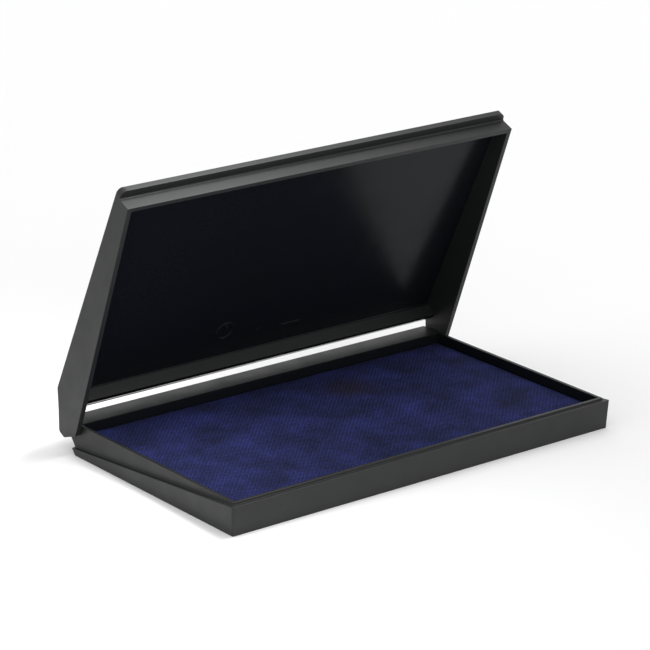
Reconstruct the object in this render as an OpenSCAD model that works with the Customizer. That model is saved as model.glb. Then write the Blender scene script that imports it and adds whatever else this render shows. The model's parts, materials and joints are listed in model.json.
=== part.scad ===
// Office stamp pad: a hinged moulded case that holds an inked cloth pad.
// Origin at the centre of the underside, +Z up, the front towards -Y, the hinge along X at the back.
// The lid is drawn open, turned about the hinge from where it lies when it is closed.

/* [Tray] */
// Width of the case across its underside
case_w = 170; // [140:1:200]
// Depth of the underside, front to back
foot_d = 92.6; // [80:0.2:110]
// Height of the tray's rim above the table
rim_h = 11.4; // [11.2:0.1:12]
// How far the back ledge reaches behind the underside
back_reach = 9.2; // [8.8:0.1:10]
// How far each outer wall leans outwards over its height
wall_lean = 0.5; // [0.2:0.1:0.8]
// Thickness of the tray's floor
floor_t = 1.6; // [1.2:0.1:2]
// Thickness of the rim around the pad
rim_t = 1.3; // [1:0.1:1.6]
// Height of the ledge that carries the lid, at the front
ledge_front_z = 10.7; // [10:0.05:10.7]
// Height of the same ledge where it ends at the back
ledge_back_z = 2.35; // [2:0.05:4]
// Width of the ledge outside the rim
ledge_w = 1.9; // [1.7:0.1:2.4]

/* [Lid] */
// Angle between the open lid and the closed case
open_deg = 65; // [0:1:115]
// Height of the closed case
closed_h = 18.9; // [18.4:0.1:19.5]
// Thickness of the lid's top plate
plate_t = 2.05; // [1.6:0.05:2.3]
// Thickness of the lid's side walls
lid_wall_t = 2.1; // [1.7:0.1:2.2]
// How far the finger lip stands out in front of the front wall
lip_reach = 3.2; // [2:0.1:4]
// Thickness of the finger lip
lip_t = 2.5; // [2:0.1:2.8]
// Radius of the finger lip's two corners
lip_corner_r = 2.6; // [1:0.1:3]

/* [Hinge] */
// Height of the hinge axis above the table
hinge_z = 9.8; // [9.6:0.05:9.9]
// Distance of the hinge axis in front of the back ledge's edge
hinge_inset = 3.9; // [3.6:0.1:4.1]
// Radius of a hinge pin
pin_r = 0.75; // [0.6:0.05:0.85]
// Radial clearance between a pin and its bore in the tray
pin_clear = 0.05; // [0.02:0.01:0.08]
// Length of a hinge pin
pin_len = 6.8; // [5:0.2:7]

/* [Pad] */
// Height of the cloth surface above the table
pad_top_z = 8.4; // [7.6:0.1:9.4]
// Thickness of the cloth cover
cloth_t = 0.5; // [0.3:0.1:0.8]
// Thickness of the board that stiffens the pad
board_t = 1.2; // [0.8:0.1:1.6]
// Thickness of the soft fleece under the cloth
fleece_t = 1.0; // [0.6:0.1:1.4]

/* [Hidden] */

$fn = 48;
round_steps = 6;    // straight steps in each rounded corner of an outline
gap = 0.2;          // room between the lid's front wall or ears and what they pass
side_gap = 0.5;     // room between the lid's side walls and the tray's rim
rest_gap = 0.15;    // room under the closed lid's edge
over = 1;           // how far a cutting shape passes the face it cuts
half_w = case_w / 2;

// Tray, with y counted from the front edge of the underside
back_y = foot_d + back_reach;
rim_half_w = half_w + wall_lean - ledge_w;
rim_front_y = ledge_w - wall_lean;
well_half_w = rim_half_w - rim_t;
well_front_y = rim_front_y + rim_t;
well_back_y = back_y - 10.1;
back_wall_t = 1.4;
plate_edge_t = 1.5;     // thickness of the back ledge
cheek_w = 6;            // width of the block that holds each pin
gusset_t = 1.2;
gusset_count = 9;

// Lid in its closed place
hinge_y = back_y - hinge_inset;
lid_inner_half_w = rim_half_w + side_gap;
lid_bottom_half_w = lid_inner_half_w + lid_wall_t;
lid_top_half_w = lid_bottom_half_w - 0.4;
inner_z = closed_h - plate_t;
wall_front_y = -wall_lean;
wall_back_y = rim_front_y - gap;
slope_top_y = back_y - 14.3;
slope_deg = 28;
rib_y = back_y - 10.7;  // middle of the rib that closes the gap above the back ledge
rib_w = 1.2;
plate_end_y = back_y - 6.8;
blind_depth = 1.2;      // depth of the pin's hole in the lid's ear
mark_h = 0.2;

// Pad
pad_room = 0.1;
pad_half_w = well_half_w - pad_room;
pad_front_y = well_front_y + pad_room;
pad_back_y = well_back_y - pad_room;
felt_top_z = pad_top_z - cloth_t - fleece_t;

// Height of the sloping side ledge at depth y
function ledge_z(y) =
    ledge_front_z + (ledge_back_z - ledge_front_z) * y / slant_y(ledge_back_z);

// Depth of the slanted back face at height z
function slant_y(z) = foot_d + back_reach * z / rim_h;

// Height of the closed lid's sloped back edge at depth y
function slope_z(y) = closed_h - (y - slope_top_y) * tan(slope_deg);

function unit(v) = v / norm(v);

// The arc that rounds corner b of the outline a, b, c to radius r
function corner(a, b, c, r) =
    r == 0 ? [b] :
    let (u = unit(a - b), v = unit(c - b), half = acos(u * v) / 2,
         centre = b + unit(u + v) * r / sin(half),
         from = b + u * r / tan(half) - centre,
         to = b + v * r / tan(half) - centre,
         start = atan2(from[1], from[0]),
         turn = (atan2(to[1], to[0]) - start + 540) % 360 - 180)
    [for (i = [0:round_steps])
        centre + r * [cos(start + turn * i / round_steps), sin(start + turn * i / round_steps)]];

// A closed outline through corners given as [y, z, radius]
function rounded(pts) =
    let (n = len(pts), flat = [for (p = pts) [p[0], p[1]]])
    [for (i = [0:n - 1]) each corner(flat[(i + n - 1) % n], flat[i], flat[(i + 1) % n], pts[i][2])];

// Carries a y-z outline across the case from x0 to x1
module across(x0, x1) {
    translate([x0, -foot_d / 2, 0]) rotate([90, 0, 90]) linear_extrude(height = x1 - x0) children();
}

// The space between two walls that lean, given their half widths at heights z0 and z1
module between_walls(z0, half0, z1, half1) {
    translate([0, foot_d, 0]) rotate([90, 0, 0]) linear_extrude(height = 2 * foot_d)
        polygon([[-half0, z0], [half0, z0], [half1, z1], [-half1, z1]]);
}

// Turns the closed lid about the hinge to where it stands open
module opened() {
    translate([0, hinge_y - foot_d / 2, hinge_z]) rotate([-open_deg, 0, 0])
        translate([0, foot_d / 2 - hinge_y, -hinge_z]) children();
}

module block(half_x, y0, y1, z0, z1) {
    translate([-half_x, y0 - foot_d / 2, z0]) cube([2 * half_x, y1 - y0, z1 - z0]);
}

// A cylinder on the hinge axis, from |x| = inner to outer, on the left (-1) or the right (1)
module on_axis(side, inner, outer, r) {
    translate([side * (inner + outer) / 2, hinge_y - foot_d / 2, hinge_z]) rotate([0, 90, 0])
        cylinder(h = outer - inner, r = r, center = true);
}

// Outer walls of the tray, up to the ledge that slopes down towards the back
module tray_skirt() {
    intersection() {
        across(-half_w - over, half_w + over) polygon([
            [0, 0], [foot_d, 0], [slant_y(ledge_back_z), ledge_back_z],
            [-wall_lean, ledge_z(-wall_lean)]]);
        between_walls(0, half_w, ledge_front_z, half_w + wall_lean);
    }
}

// Section of the back ledge on its slanted cheeks and gussets
module back_web() {
    polygon([[well_back_y, 0], [foot_d, 0], [back_y, rim_h], [well_back_y, rim_h]]);
}

module base_tray() {
    knuckle_r = rim_h - hinge_z;
    inner_x = rim_half_w - cheek_w;
    pitch = 2 * inner_x / (gusset_count + 1);
    color("#3a3c3e") difference() {
        union() {
            tray_skirt();
            block(rim_half_w, rim_front_y, well_back_y + back_wall_t, 0, rim_h);
            across(-rim_half_w, rim_half_w) intersection() {
                back_web();
                translate([well_back_y, rim_h - plate_edge_t]) square([back_reach * 2, plate_edge_t]);
            }
            for (side = [-1, 1]) {
                across(side > 0 ? inner_x : -rim_half_w, side > 0 ? rim_half_w : -inner_x) back_web();
                on_axis(side, inner_x, rim_half_w + side_gap - gap, knuckle_r);
            }
            for (i = [1:gusset_count])
                across(i * pitch - inner_x - gusset_t / 2, i * pitch - inner_x + gusset_t / 2) back_web();
        }
        block(well_half_w, well_front_y, well_back_y, floor_t, rim_h + over);
        for (side = [-1, 1]) on_axis(side, inner_x - over, rim_half_w + over, pin_r + pin_clear);
    }
}

module backing_board() {
    color("#8a7a5c")
        block(pad_half_w - cloth_t, pad_front_y + cloth_t, pad_back_y - cloth_t, floor_t, floor_t + board_t);
}

module felt_reservoir() {
    color("#2a2f6a")
        block(pad_half_w - cloth_t, pad_front_y + cloth_t, pad_back_y - cloth_t, floor_t + board_t, felt_top_z);
}

module transfer_fleece() {
    color("#30367c")
        block(pad_half_w - cloth_t, pad_front_y + cloth_t, pad_back_y - cloth_t,
              felt_top_z, felt_top_z + fleece_t);
}

// Cloth drawn over the felt and down its four edges
module pad_cloth() {
    color("#33397a") difference() {
        block(pad_half_w, pad_front_y, pad_back_y, floor_t, pad_top_z);
        block(pad_half_w - cloth_t, pad_front_y + cloth_t, pad_back_y - cloth_t,
              floor_t - over, pad_top_z - cloth_t);
    }
}

// Side wall of the closed lid: it follows the ledge and ends in the ear around the hinge pin
module lid_side_outline() {
    ear_y = back_y - 0.05;
    polygon(rounded([
        [wall_front_y, ledge_z(wall_front_y) + rest_gap, 0],
        [wall_front_y, closed_h - lip_t, 0.5],
        [wall_front_y - lip_reach, closed_h - lip_t, 0],
        [wall_front_y - lip_reach, closed_h, 0.6],
        [slope_top_y, closed_h, 2],
        [ear_y, slope_z(ear_y), 1.6],
        [ear_y, hinge_z - 1.9, 1.2],
        [back_y - 5.4, 2.5, 1.6],
        [foot_d + 1.2, ledge_z(foot_d + 1.2) + rest_gap, 0]]));
}

// Section of the closed lid between its side walls: lip, front wall, top plate and back rib
module lid_middle_outline() {
    end_z = slope_z(plate_end_y);
    rib_z = rim_h + 0.3;
    polygon(rounded([
        [wall_front_y, ledge_z(wall_front_y) + rest_gap, 0],
        [wall_front_y, closed_h - lip_t, 0.5],
        [wall_front_y - lip_reach, closed_h - lip_t, 0],
        [wall_front_y - lip_reach, closed_h, 0.6],
        [slope_top_y, closed_h, 2],
        [plate_end_y, end_z, 0.5],
        [plate_end_y - 0.5, end_z - 1.3, 0],
        [rib_y + rib_w / 2, rib_z, 0],
        [rib_y - rib_w / 2, rib_z, 0],
        [rib_y - 1.9, inner_z, 0.8],
        [wall_back_y, inner_z, 0.8],
        [wall_back_y, ledge_z(wall_front_y) + rest_gap, 0]]));
}

// Plain raised marks that inserts in the mould leave on the inner face of the plate
module mould_marks() {
    mark_y = plate_end_y - foot_d / 2 - 18;
    translate([0, mark_y, inner_z - mark_h]) linear_extrude(height = mark_h + 0.1) {
        translate([-17, 0]) difference() {
            circle(4);
            circle(3.3);
        }
        translate([-17, 0]) square([0.7, 5], center = true);
        translate([-0.5, 4]) circle(1.3);
        translate([14.5, 4]) square([9, 0.9], center = true);
    }
}

// What is cut from a square corner to round it to radius r
module corner_waste(r) {
    difference() {
        translate([-over, -over]) square(r + over);
        translate([r, r]) circle(r);
    }
}

module lid_shell() {
    lip_front_y = wall_front_y - lip_reach - foot_d / 2;
    outer = lid_bottom_half_w + over;
    color("#36383a") opened() difference() {
        intersection() {
            union() {
                across(-outer, outer) lid_middle_outline();
                across(-outer, -lid_inner_half_w) lid_side_outline();
                across(lid_inner_half_w, outer) lid_side_outline();
                mould_marks();
            }
            between_walls(0, lid_bottom_half_w, closed_h + over, lid_top_half_w);
        }
        for (side = [0, 1]) mirror([side, 0, 0])
            translate([-lid_top_half_w, lip_front_y, closed_h - lip_t - 0.3])
                linear_extrude(height = lip_t + over) corner_waste(lip_corner_r);
        for (side = [-1, 1]) on_axis(side, lid_inner_half_w - over, lid_inner_half_w + blind_depth, pin_r);
    }
}

module hinge_pin(side) {
    outer = lid_inner_half_w + blind_depth;
    color("silver") on_axis(side, outer - pin_len, outer, pin_r);
}

module hinge_pin_left() {
    hinge_pin(-1);
}

module hinge_pin_right() {
    hinge_pin(1);
}

base_tray();
backing_board();
felt_reservoir();
transfer_fleece();
pad_cloth();
lid_shell();
hinge_pin_left();
hinge_pin_right();
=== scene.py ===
import json
import math

import bmesh
import bpy
import numpy as np
from mathutils import Matrix, Vector


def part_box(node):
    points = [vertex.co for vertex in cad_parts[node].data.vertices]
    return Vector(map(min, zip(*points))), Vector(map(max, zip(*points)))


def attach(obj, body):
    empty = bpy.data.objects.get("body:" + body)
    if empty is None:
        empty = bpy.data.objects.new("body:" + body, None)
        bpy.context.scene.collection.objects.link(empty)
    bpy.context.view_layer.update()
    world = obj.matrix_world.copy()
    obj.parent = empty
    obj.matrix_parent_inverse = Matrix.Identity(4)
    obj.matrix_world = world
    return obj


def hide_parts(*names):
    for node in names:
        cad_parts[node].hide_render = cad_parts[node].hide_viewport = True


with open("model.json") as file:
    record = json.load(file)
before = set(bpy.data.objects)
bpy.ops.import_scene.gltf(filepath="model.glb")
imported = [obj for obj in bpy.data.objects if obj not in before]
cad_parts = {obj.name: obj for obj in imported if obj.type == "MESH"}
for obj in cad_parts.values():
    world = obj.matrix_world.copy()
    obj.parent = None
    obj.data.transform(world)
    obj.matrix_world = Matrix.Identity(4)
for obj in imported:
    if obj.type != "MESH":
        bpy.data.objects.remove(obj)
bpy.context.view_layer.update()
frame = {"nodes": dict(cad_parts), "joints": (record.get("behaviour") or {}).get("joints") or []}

# ---- The table, the light and the view -------------------------------------------------------
# The ink pad stands open on a plain pale table top in an even white studio. Two small
# softboxes above it are aimed at the lid's upper left corner, so that the lid's front wall
# and lip are brightest at the left and fall off to the right.


def linear(hex_colour):
    """The linear colour of an sRGB hex value, with alpha 1."""
    parts = [int(hex_colour[i:i + 2], 16) / 255 for i in (1, 3, 5)]
    return tuple(c / 12.92 if c <= 0.04045 else ((c + 0.055) / 1.055) ** 2.4 for c in parts) + (1,)


def add_node(material, kind, inputs=(), **settings):
    """Adds one node. settings are its own fields; inputs gives each socket a value or an output."""
    node = material.node_tree.nodes.new(kind)
    for name, value in settings.items():
        setattr(node, name, value)
    for key, value in dict(inputs).items():
        if isinstance(value, bpy.types.NodeSocket):
            material.node_tree.links.new(value, node.inputs[key])
        else:
            node.inputs[key].default_value = value
    return node


def new_material(name):
    """A material with an empty node tree."""
    material = bpy.data.materials.new(name)
    material.use_nodes = True
    material.node_tree.nodes.clear()
    return material


def finish_material(material, inputs):
    """The surface shader with these inputs, joined to the output."""
    shader = add_node(material, "ShaderNodeBsdfPrincipled", inputs)
    add_node(material, "ShaderNodeOutputMaterial", {"Surface": shader.outputs[0]})
    return material


camera_place = Vector((-0.65513, -0.80309, 0.39936))
camera_turn, camera_fall, camera_roll = (math.radians(a) for a in (38.7865, 18.9275, 0.70))
look = Vector((
    math.sin(camera_turn) * math.cos(camera_fall),
    math.cos(camera_turn) * math.cos(camera_fall),
    -math.sin(camera_fall),
))
level = look.cross(Vector((0, 0, 1))).normalized()
right = math.cos(camera_roll) * level + math.sin(camera_roll) * level.cross(look)
camera_data = bpy.data.cameras.new("view")
camera_data.lens = 171.65
camera_data.sensor_width = 36
camera_data.clip_start = 0.05
camera_data.clip_end = 20
camera = bpy.data.objects.new("view", camera_data)
camera.matrix_world = Matrix.Translation(camera_place) @ Matrix(
    (right, right.cross(look), -look)
).transposed().to_4x4()
bpy.context.scene.collection.objects.link(camera)
bpy.context.scene.camera = camera
bpy.context.scene.view_settings.view_transform = "Standard"

world = bpy.data.worlds.new("studio")
bpy.context.scene.world = world
world.use_nodes = True
world.node_tree.nodes.clear()
add_node(world, "ShaderNodeOutputWorld", {
    "Surface": add_node(world, "ShaderNodeBackground", {
        "Color": linear("#ffffff"),
        "Strength": 1.05,
    }).outputs[0],
})

lid_corner = Vector((-0.08, 0.005, 0.095))
# Each softbox: name, place and side in metres, the angle its grid lets out, and watts.
for name, place, size, spread, watts in (
    ("softbox_left", (-0.02, -0.03, 0.22), 0.08, 60, 0.043),
    ("softbox_right", (0.10, -0.02, 0.33), 0.12, 70, 0.085),
):
    lamp = bpy.data.lights.new(name, "AREA")
    lamp.size = size
    lamp.spread = math.radians(spread)
    lamp.energy = watts
    lamp_object = bpy.data.objects.new(name, lamp)
    lamp_object.location = place
    lamp_object.rotation_euler = (lid_corner - Vector(place)).to_track_quat("-Z", "Y").to_euler()
    bpy.context.scene.collection.objects.link(lamp_object)

floor_reach = 4.0
corners = np.array([(-1, -1, 0), (1, -1, 0), (1, 1, 0), (-1, 1, 0)], float) * floor_reach
floor_mesh = bpy.data.meshes.new("table_top")
floor_mesh.from_pydata(corners.tolist(), [], [(0, 1, 2, 3)])
floor = bpy.data.objects.new("table_top", floor_mesh)
bpy.context.scene.collection.objects.link(floor)
# Matt laminate: near white, no gloss.
floor_mesh.materials.append(finish_material(new_material("laminate_matt_white"), {
    "Base Color": linear("#f9f9f9"),
    "Roughness": 0.9,
    "Specular IOR Level": 0.0,
}))

# ---- The tray --------------------------------------------------------------------------------
# The lower half of the case: one injection moulding in black polystyrene, with a sloping
# ledge that the lid shuts down to. Its outside is spark-eroded to a fine satin; its edges are
# broken by about a fifth of a millimetre, and its upright front corners more.
MM = 0.001


def shade_evenly(mesh, turn):
    """Sets each corner's normal to the mean, weighted by area, of the faces at its point that
    lie within turn of its own face, so wide faces stay flat and narrow rounds blend in."""
    corners = len(mesh.loops)
    point, sides = np.empty(corners, int), np.empty(len(mesh.polygons), int)
    normal, area = np.empty(3 * len(sides)), np.empty(len(sides))
    mesh.loops.foreach_get("vertex_index", point)
    mesh.polygons.foreach_get("loop_total", sides)
    mesh.polygons.foreach_get("normal", normal)
    mesh.polygons.foreach_get("area", area)
    normal = normal.reshape(-1, 3)
    face = np.repeat(np.arange(len(sides)), sides)
    order = np.argsort(point, kind="stable")
    count = np.bincount(point)
    first = np.cumsum(count) - count
    around = count[point]
    mine = np.repeat(np.arange(corners), around)
    within = np.arange(len(mine)) - np.repeat(np.cumsum(around) - around, around)
    other = face[order[first[point[mine]] + within]]
    near = (normal[face[mine]] * normal[other]).sum(1) > math.cos(turn)
    mean = np.zeros((corners, 3))
    np.add.at(mean, mine[near], normal[other[near]] * area[other[near], None])
    length = np.maximum(np.linalg.norm(mean, axis=1, keepdims=True), 1e-30)
    mesh.normals_split_custom_set(mean / length)


def bevelled_copy(node, name, edge_mm, soft_mm, soft_edges):
    """The node's shell with merged points and flat faces, its edges rounded by a Bevel.

    Every edge sharper than 25 degrees gets edge_mm, and those that soft_edges(a, b) picks
    from their two ends get soft_mm. An edge that is too short for that stays crisp, and so
    does one that ends at such a short edge. Faces that meet within 0.4 degrees are joined
    first, and only edges that bend by 3 degrees or more count as short ones."""
    joined, bent_edge, sharp = (math.radians(angle) for angle in (0.4, 3, 25))
    mesh = frame["nodes"][node].data.copy()
    mesh.name = name
    mesh.materials.clear()
    shell = bmesh.new()
    shell.from_mesh(mesh)
    bmesh.ops.remove_doubles(shell, verts=shell.verts, dist=2e-6)
    bmesh.ops.dissolve_limit(
        shell, angle_limit=joined, verts=shell.verts, edges=shell.edges)
    weight = shell.edges.layers.float.new("bevel_weight_edge")
    bends = {e for e in shell.edges if e.calc_face_angle(0) > bent_edge}
    shortest = {v: min([e.calc_length() for e in v.link_edges if e in bends], default=1)
                for v in shell.verts}
    for edge in shell.edges:
        if edge.calc_face_angle(0) > sharp:
            room = min(edge.calc_length() / 2, *(shortest[v] for v in edge.verts))
            soft = soft_edges(*(v.co for v in edge.verts))
            if room > 1.1 * edge_mm * MM:
                edge[weight] = 1.0 if soft else edge_mm / soft_mm
    for face in shell.faces:
        face.smooth = True
    shell.to_mesh(mesh)
    shell.free()
    piece = bpy.data.objects.new(name, mesh)
    bpy.context.scene.collection.objects.link(piece)
    bevel = piece.modifiers.new("broken_edges", "BEVEL")
    bevel.limit_method = "WEIGHT"
    bevel.width = soft_mm * MM
    bevel.segments = 3
    bevel.use_clamp_overlap = False
    rounded = bpy.data.meshes.new_from_object(
        piece.evaluated_get(bpy.context.evaluated_depsgraph_get()))
    rounded.name = name
    piece.modifiers.clear()
    piece.data = rounded
    shade_evenly(rounded, math.radians(32))
    return piece


def case_plastic(name, colours, roughness, grain_depth, specular):
    """Black moulded plastic, its patterns in millimetres: grain, flow marks and uneven gloss.

    The grain of the mould is about 0.1 mm; it is drawn about 0.5 mm, so that it shows. Flow
    marks are some 30 mm long and the gloss changes over some 9 mm. grain_depth is in mm."""
    material = new_material(name)
    coords = add_node(material, "ShaderNodeTexCoord")
    in_mm = add_node(material, "ShaderNodeVectorMath", {
        0: coords.outputs["Object"], "Scale": 1000.0}, operation="SCALE")
    grain = add_node(material, "ShaderNodeTexNoise", {
        "Vector": in_mm.outputs[0], "Scale": 1.9, "Detail": 3.0, "Roughness": 0.6})
    flow = add_node(material, "ShaderNodeTexNoise", {
        "Vector": in_mm.outputs[0], "Scale": 0.035, "Detail": 1.0})
    shine = add_node(material, "ShaderNodeTexNoise", {
        "Vector": in_mm.outputs[0], "Scale": 0.11, "Detail": 4.0})
    tint = add_node(material, "ShaderNodeMix", {
        "Factor": grain.outputs["Fac"], 6: linear(colours[0]), 7: linear(colours[1])},
        data_type="RGBA")
    gloss = add_node(material, "ShaderNodeMapRange", {
        "Value": shine.outputs["Fac"], "From Min": 0.3, "From Max": 0.7,
        "To Min": roughness[0], "To Max": roughness[1]})
    sunk = add_node(material, "ShaderNodeBump", {
        "Height": flow.outputs["Fac"], "Strength": 1.0, "Distance": 0.12 * MM})
    rough = add_node(material, "ShaderNodeBump", {
        "Height": grain.outputs["Fac"], "Strength": 1.0, "Distance": grain_depth * MM,
        "Normal": sunk.outputs[0]})
    return finish_material(material, {
        "Base Color": tint.outputs[2],
        "Roughness": gloss.outputs[0],
        "Specular IOR Level": specular,
        "Normal": rough.outputs[0],
    })


# Polystyrene from a spark-eroded mould: black with a slightly grey, even satin shine.
eroded_plastic = case_plastic(
    "polystyrene_eroded_black", ("#171818", "#202121"), (0.45, 0.55), 0.020, 0.38)

# Polystyrene from a polished mould face: deep black, with a clear but soft reflection.
# Its faint blue tint is a painted reflection of the blue pad it faces; its deep black is the
# plastic's own.
polished_plastic = case_plastic(
    "polystyrene_polished_black", ("#111316", "#15171b"), (0.18, 0.26), 0.0015, 0.1)

front_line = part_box("base_tray")[0].y + 2 * MM
upright_rise = 5 * MM
tray = bevelled_copy(
    "base_tray", "tray_case", 0.22, 0.8,
    lambda a, b: abs(a.z - b.z) > upright_rise and max(a.y, b.y) < front_line)
tray.data.materials.append(eroded_plastic)
tray.data.materials.append(polished_plastic)
# The well's walls are polished: they are the faces within a hair of the pad that do not
# look up.
pad_low, pad_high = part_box("pad_cloth")
hair = 0.3 * MM
for face in tray.data.polygons:
    spot = face.center
    in_well = (
        pad_low.x - hair < spot.x < pad_high.x + hair
        and pad_low.y - hair < spot.y < pad_high.y + hair
        and spot.z > pad_low.z - hair
    )
    face.material_index = int(in_well and face.normal.z < 0.9)
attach(tray, "tray")
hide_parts("base_tray")

# ---- The backing board -----------------------------------------------------------------------
# A stiff sheet, cut to the well, that the wet layers lie on. It is greyboard, pressed from
# waste paper, so it is dull and grey-brown with darker fibres about 1 mm long.
board_material = new_material("greyboard_pressed")
board_coords = add_node(board_material, "ShaderNodeTexCoord")
fibres = add_node(board_material, "ShaderNodeTexNoise", {
    "Vector": board_coords.outputs["Object"], "Scale": 900.0, "Detail": 4.0})
board_tint = add_node(board_material, "ShaderNodeMix", {
    "Factor": fibres.outputs["Fac"], 6: linear("#5b5650"), 7: linear("#8a847a")},
    data_type="RGBA")
board_bump = add_node(board_material, "ShaderNodeBump", {
    "Height": fibres.outputs["Fac"], "Distance": 0.05 * MM})
finish_material(board_material, {
    "Base Color": board_tint.outputs[2],
    "Roughness": 0.9,
    "Normal": board_bump.outputs[0],
})
frame["nodes"]["backing_board"].data.materials[0] = board_material

# ---- The felt and the fleece -----------------------------------------------------------------
# A thick wool felt holds the ink, and a thin fleece on it feeds the cloth. Both are die-cut
# slabs, soft at the edge and a little higher in the middle, and dark blue with ink.


def slab(name, half, middle_y, heights, corner, roll, crown, counts, rings, closed):
    """A soft slab as one surface.

    Its top is a grid over a rectangle, closer together at the edges, whose corners are drawn
    in to quarter circles of radius corner. The height is the top's, plus crown where both
    ways are in the middle, less a quarter-circle roll along the outline. The outline is then
    carried down to the foot in rings, drawn in by a half sine to a slight waist, and a closed
    slab gets a foot like its top, flat. The UV map is the sheet laid flat, in metres."""
    waist = 0.12 * MM
    ways = [np.sin(np.linspace(-1, 1, n) * math.pi / 2) for n in counts]
    u, v = np.meshgrid(*ways, indexing="ij")
    x, y = u * half[0], v * half[1]
    p = np.clip((np.abs(x) - (half[0] - corner)) / corner, 0, 1)
    q = np.clip((np.abs(y) - (half[1] - corner)) / corner, 0, 1)
    both = (p > 0) & (q > 0)
    drawn = np.where(both, np.maximum(p, q) / np.maximum(np.hypot(p, q), 1e-9), 1)
    x = np.where(both, np.sign(x) * (half[0] - corner + corner * p * drawn), x)
    y = np.where(both, np.sign(y) * (half[1] - corner + corner * q * drawn), y)
    inset = np.minimum(half[0] - np.abs(u) * half[0], half[1] - np.abs(v) * half[1])
    drop = roll - np.sqrt(np.maximum(roll ** 2 - np.clip(roll - inset, 0, roll) ** 2, 0))
    z = heights[1] - drop + crown * (1 - u ** 4) * (1 - v ** 4)
    top = np.stack([x, y + middle_y, z], -1).reshape(-1, 3)
    nx, ny = counts
    index = np.arange(nx * ny).reshape(nx, ny)
    faces = [np.stack([
        index[:-1, :-1], index[1:, :-1], index[1:, 1:], index[:-1, 1:]], -1).reshape(-1, 4)]
    loop = np.concatenate([index[:-1, 0], index[-1, :-1], index[:0:-1, -1], index[0, :0:-1]])
    edge = top[loop]
    out = np.roll(edge, -1, 0) - np.roll(edge, 1, 0)
    out = np.stack([out[:, 1], -out[:, 0]], -1)
    out /= np.linalg.norm(out, axis=1, keepdims=True)
    flat = [top[:, :2]]
    points = [top]
    before = loop
    for k in range(1, rings + 1):
        share = k / rings
        ring = edge.copy()
        ring[:, 2] = (1 - share) * edge[:, 2] + share * heights[0]
        ring[:, :2] -= out * waist * math.sin(math.pi * share)
        points.append(ring)
        flat.append(edge[:, :2] + out * (edge[:, 2:] - ring[:, 2:]))
        now = nx * ny + (k - 1) * len(loop) + np.arange(len(loop))
        faces.append(np.stack([before, now, np.roll(now, -1), np.roll(before, -1)], -1))
        before = now
    if closed:
        foot = top.copy()
        foot[:, 2] = heights[0]
        inner = np.setdiff1d(index, loop)
        number = np.full(nx * ny, -1)
        number[inner] = sum(len(part) for part in points) + np.arange(len(inner))
        number[loop] = before
        faces.append(number[faces[0]][:, ::-1])
        points.append(foot[inner])
        flat.append(top[inner, :2])
    points, flat, faces = (np.concatenate(part) for part in (points, flat, faces))
    mesh = bpy.data.meshes.new(name)
    mesh.from_pydata(points.tolist(), [], faces.tolist())
    mesh.polygons.foreach_set("use_smooth", np.ones(len(faces), bool))
    layer = mesh.uv_layers.new(name="cut")
    layer.uv.foreach_set("vector", flat[faces.ravel()].ravel())
    piece = bpy.data.objects.new(name, mesh)
    bpy.context.scene.collection.objects.link(piece)
    return piece


# Wool felt and polyester fleece, needled: short fibres, about 0.7 mm, lie every way and give
# a dull nap, soaked dark blue.
wet_felt = new_material("wool_felt_inked")
felt_coords = add_node(wet_felt, "ShaderNodeTexCoord")
felt_noise = add_node(wet_felt, "ShaderNodeTexNoise", {
    "Vector": felt_coords.outputs["Object"], "Scale": 1400.0, "Detail": 5.0, "Distortion": 1.5})
felt_tint = add_node(wet_felt, "ShaderNodeMix", {
    "Factor": felt_noise.outputs["Fac"], 6: linear("#151a3c"), 7: linear("#2c3670")},
    data_type="RGBA")
felt_bump = add_node(wet_felt, "ShaderNodeBump", {
    "Height": felt_noise.outputs["Fac"], "Distance": 0.15 * MM})
finish_material(wet_felt, {
    "Base Color": felt_tint.outputs[2],
    "Roughness": 0.8,
    "Sheen Weight": 0.15,
    "Sheen Roughness": 0.5,
    "Normal": felt_bump.outputs[0],
})

for node_name, piece_name, roll_mm in (
    ("felt_reservoir", "felt_layer", 1.0),
    ("transfer_fleece", "fleece_layer", 0.8),
):
    low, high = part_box(node_name)
    layer_piece = slab(
        piece_name,
        half=((high.x - low.x) / 2, (high.y - low.y) / 2),
        middle_y=(low.y + high.y) / 2,
        heights=(low.z + 0.02 * MM, high.z - 0.12 * MM),
        corner=3 * MM,
        roll=roll_mm * MM,
        crown=0.08 * MM,
        counts=(41, 29),
        rings=3,
        closed=True,
    )
    layer_piece.data.materials.append(wet_felt)
    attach(layer_piece, "tray")
    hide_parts(node_name)

# ---- The cloth cover -------------------------------------------------------------------------
# A plain-woven cotton, drawn tight over the fleece and down the edges to the well's floor,
# where its hem is held. It is soaked with blue ink, which lies unevenly in lighter and
# nearly black patches, with a few dry fibres and one brownish stain.
cover = slab(
    "pad_cover",
    half=((pad_high.x - pad_low.x) / 2, (pad_high.y - pad_low.y) / 2),
    middle_y=(pad_low.y + pad_high.y) / 2,
    heights=(pad_low.z, pad_high.z - 0.20 * MM),
    corner=2.2 * MM,
    roll=1.2 * MM,
    crown=0.08 * MM,
    counts=(113, 77),
    rings=6,
    closed=False,
)
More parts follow.
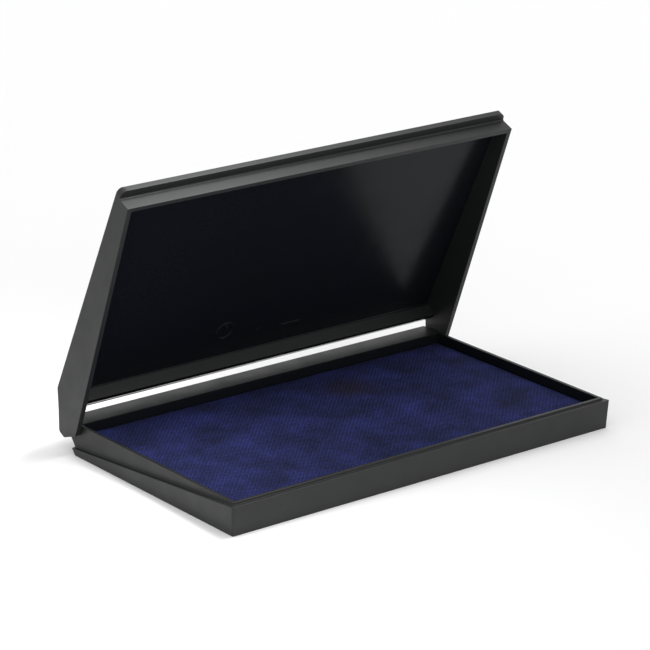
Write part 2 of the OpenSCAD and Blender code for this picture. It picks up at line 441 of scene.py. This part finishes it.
# The wet layers press the cover out from inside; the hem stays where it is held, and no
# point may move further than the cloth gives.
hem_reach = 0.8 * MM
give = 0.30 * MM
hem = cover.vertex_groups.new(name="hem")
held = [v.index for v in cover.data.vertices if v.co.z < pad_low.z + hem_reach]
hem.add(held, 1.0, "REPLACE")
swell = cover.modifiers.new("swell", "CLOTH")
swell.settings.quality = 6
swell.settings.mass = 0.05
swell.settings.tension_stiffness = 30
swell.settings.compression_stiffness = 30
swell.settings.bending_stiffness = 0.4
swell.settings.use_pressure = True
swell.settings.uniform_pressure_force = 4
swell.settings.effector_weights.gravity = 0
swell.settings.vertex_group_mass = "hem"
for step in range(1, 21):
    bpy.context.scene.frame_set(step)
solved = cover.evaluated_get(bpy.context.evaluated_depsgraph_get()).to_mesh()
still = np.empty(3 * len(cover.data.vertices))
moved = np.empty_like(still)
cover.data.vertices.foreach_get("co", still)
solved.vertices.foreach_get("co", moved)
still, moved = still.reshape(-1, 3), moved.reshape(-1, 3)
push = moved - still
reach = np.linalg.norm(push, axis=1, keepdims=True)
moved = still + push * give * np.tanh(reach / give) / np.maximum(reach, 1e-9)
moved[:, :2] = np.clip(moved[:, :2], np.array(pad_low[:2]), np.array(pad_high[:2]))
moved[:, 2] = np.maximum(moved[:, 2], pad_low.z)
cover.modifiers.clear()
cover.data.vertices.foreach_set("co", moved.ravel())
cover.data.update()
bpy.context.scene.frame_set(1)
thickness = cover.modifiers.new("cloth_gauge", "SOLIDIFY")
thickness.thickness = 0.42 * MM
thickness.offset = -1
thickness.use_rim = True

# Cotton in plain weave, soaked with stamp ink: a matt, fine-grained dark blue.
inked = new_material("cotton_plain_woven_inked")
cut = add_node(inked, "ShaderNodeUVMap", uv_map="cut")
place_mm = add_node(inked, "ShaderNodeVectorMath", {
    0: cut.outputs[0], "Scale": 1000.0}, operation="SCALE")
wander = add_node(inked, "ShaderNodeTexNoise", {
    "Vector": place_mm.outputs[0], "Scale": 0.45, "Detail": 2.0})
bent = add_node(inked, "ShaderNodeVectorMath", {
    0: wander.outputs["Color"], 1: (0.8, 0.8, 0.0), 2: place_mm.outputs[0]},
    operation="MULTIPLY_ADD")
# Threads lie 0.45 mm apart; they are drawn 0.9 mm apart, so that they show.
thread = math.pi / 0.9
turned = add_node(inked, "ShaderNodeVectorMath", {
    0: bent.outputs[0], "Scale": thread}, operation="SCALE")
axes = add_node(inked, "ShaderNodeSeparateXYZ", {0: turned.outputs[0]})
warp = add_node(inked, "ShaderNodeMath", {0: axes.outputs[0]}, operation="SINE")
weft = add_node(inked, "ShaderNodeMath", {0: axes.outputs[1]}, operation="SINE")
over = add_node(inked, "ShaderNodeMath", {
    0: warp.outputs[0], 1: weft.outputs[0]}, operation="MULTIPLY")
fuzz = add_node(inked, "ShaderNodeTexNoise", {
    "Vector": place_mm.outputs[0], "Scale": 1.3, "Detail": 4.0, "Roughness": 0.65})
relief = add_node(inked, "ShaderNodeMath", {
    0: over.outputs[0], 1: 0.6, 2: fuzz.outputs["Fac"]}, operation="MULTIPLY_ADD")
weave_bump = add_node(inked, "ShaderNodeBump", {
    "Height": relief.outputs[0], "Strength": 1.0, "Distance": 0.14 * MM})
# The ink lies in pools some 18 mm wide and in blots of about 1 mm.
pools = add_node(inked, "ShaderNodeTexNoise", {
    "Vector": place_mm.outputs[0], "Scale": 0.055, "Detail": 4.0, "Roughness": 0.6})
blots = add_node(inked, "ShaderNodeTexNoise", {
    "Vector": place_mm.outputs[0], "Scale": 0.8, "Detail": 5.0, "Roughness": 0.7})
ink_mix = add_node(inked, "ShaderNodeMix", {
    "Factor": 0.5, 2: pools.outputs["Fac"], 3: blots.outputs["Fac"]}, data_type="FLOAT")
ink_ramp = add_node(inked, "ShaderNodeValToRGB", {0: ink_mix.outputs[0]})
stops = ink_ramp.color_ramp.elements
stops[0].position = 0.36
stops[0].color = linear("#181b31")
stops[1].position = 0.64
stops[1].color = linear("#2b3168")
for where, colour in ((0.44, "#1e213c"), (0.50, "#222649"), (0.56, "#272b57")):
    stops.new(where).color = linear(colour)
# Painted shade of the weave: the gaps between threads are darkened and the thread crowns lightened,
# following the weave's relief.
weave_painted_shade = add_node(inked, "ShaderNodeMapRange", {
    "Value": relief.outputs[0], "From Min": -0.1, "From Max": 1.1, "To Min": 0.68,
    "To Max": 1.32})
# One faint brownish stain, 24 mm across, lies right of the middle towards the lid.
stain_reach = add_node(inked, "ShaderNodeVectorMath", {
    0: bent.outputs[0], 1: (22.0, 24.0, 0.0)}, operation="DISTANCE")
stain = add_node(inked, "ShaderNodeMapRange", {
    "Value": stain_reach.outputs["Value"], "From Min": 3.0, "From Max": 12.0,
    "To Min": 0.5, "To Max": 0.0})
stained = add_node(inked, "ShaderNodeMix", {
    "Factor": stain.outputs[0], 6: ink_ramp.outputs[0], 7: linear("#2b2328")},
    data_type="RGBA")
# The driest fibres stand out pale; only the highest peaks of the fuzz reach them.
dry = add_node(inked, "ShaderNodeMapRange", {
    "Value": fuzz.outputs["Fac"], "From Min": 0.70, "From Max": 0.76, "To Min": 0.0,
    "To Max": 0.6})
fibres_shown = add_node(inked, "ShaderNodeMix", {
    "Factor": dry.outputs[0], 6: stained.outputs[2], 7: linear("#666b94")},
    data_type="RGBA")
# The ink colour is scaled by the painted weave shade.
ink_colour = add_node(inked, "ShaderNodeVectorMath", {
    0: fibres_shown.outputs[2], "Scale": weave_painted_shade.outputs[0]}, operation="SCALE")
finish_material(inked, {
    "Base Color": ink_colour.outputs[0],
    "Roughness": 0.9,
    "Specular IOR Level": 0.05,
    "Normal": weave_bump.outputs[0],
})
cover.data.materials.append(inked)
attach(cover, "tray")
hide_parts("pad_cloth")

# ---- The hinge pins --------------------------------------------------------------------------
# Two short pins of drawn steel wire, pressed into the lid's ears and turning in the tray.
# Drawing leaves fine lines along the wire, about 0.2 mm apart.
wire = new_material("steel_drawn_wire")
wire_coords = add_node(wire, "ShaderNodeTexCoord")
along = add_node(wire, "ShaderNodeMapping", {
    "Vector": wire_coords.outputs["Object"], "Scale": (60.0, 6000.0, 6000.0)})
lines = add_node(wire, "ShaderNodeTexNoise", {"Vector": along.outputs[0], "Detail": 2.0})
wire_gloss = add_node(wire, "ShaderNodeMapRange", {
    "Value": lines.outputs["Fac"], "To Min": 0.2, "To Max": 0.45})
finish_material(wire, {
    "Base Color": linear("#b9bbbd"),
    "Metallic": 1.0,
    "Roughness": wire_gloss.outputs[0],
})
for side in ("left", "right"):
    frame["nodes"]["hinge_pin_" + side].data.materials[0] = wire

# ---- The lid ---------------------------------------------------------------------------------
# The upper half of the case: a flat top plate with a finger lip, a front wall and two wedge
# walls that end in the hinge ears. It is moulded like the tray, eroded outside and polished
# inside.
lid = bevelled_copy(
    "lid_shell", "lid_case", 0.18, 0.8, lambda a, b: False)
lid.data.materials.append(eroded_plastic)
lid.data.materials.append(polished_plastic)
# The polished faces are found with the lid shut: they look down or inwards, and lie between
# the side walls, behind the front wall, and between the tray's rim and the top plate.
hinge_place = Vector(frame["joints"][0]["pos_m"])
open_angle = math.radians(65)
shut = (Matrix.Translation(hinge_place) @ Matrix.Rotation(open_angle, 4, "X")
        @ Matrix.Translation(-hinge_place))
inner_half = 84.2 * MM
inner_front = -45 * MM
inner_low, inner_high = 11 * MM, 17 * MM
for face in lid.data.polygons:
    spot = shut @ face.center
    way = shut.to_3x3() @ face.normal
    inward = way.z < -0.3 or way.x * spot.x < 0 or way.y > 0.3
    hollow = abs(spot.x) < inner_half and spot.y > inner_front and inner_low < spot.z < inner_high
    face.material_index = int(inward and hollow)
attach(lid, "lid")
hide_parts("lid_shell")
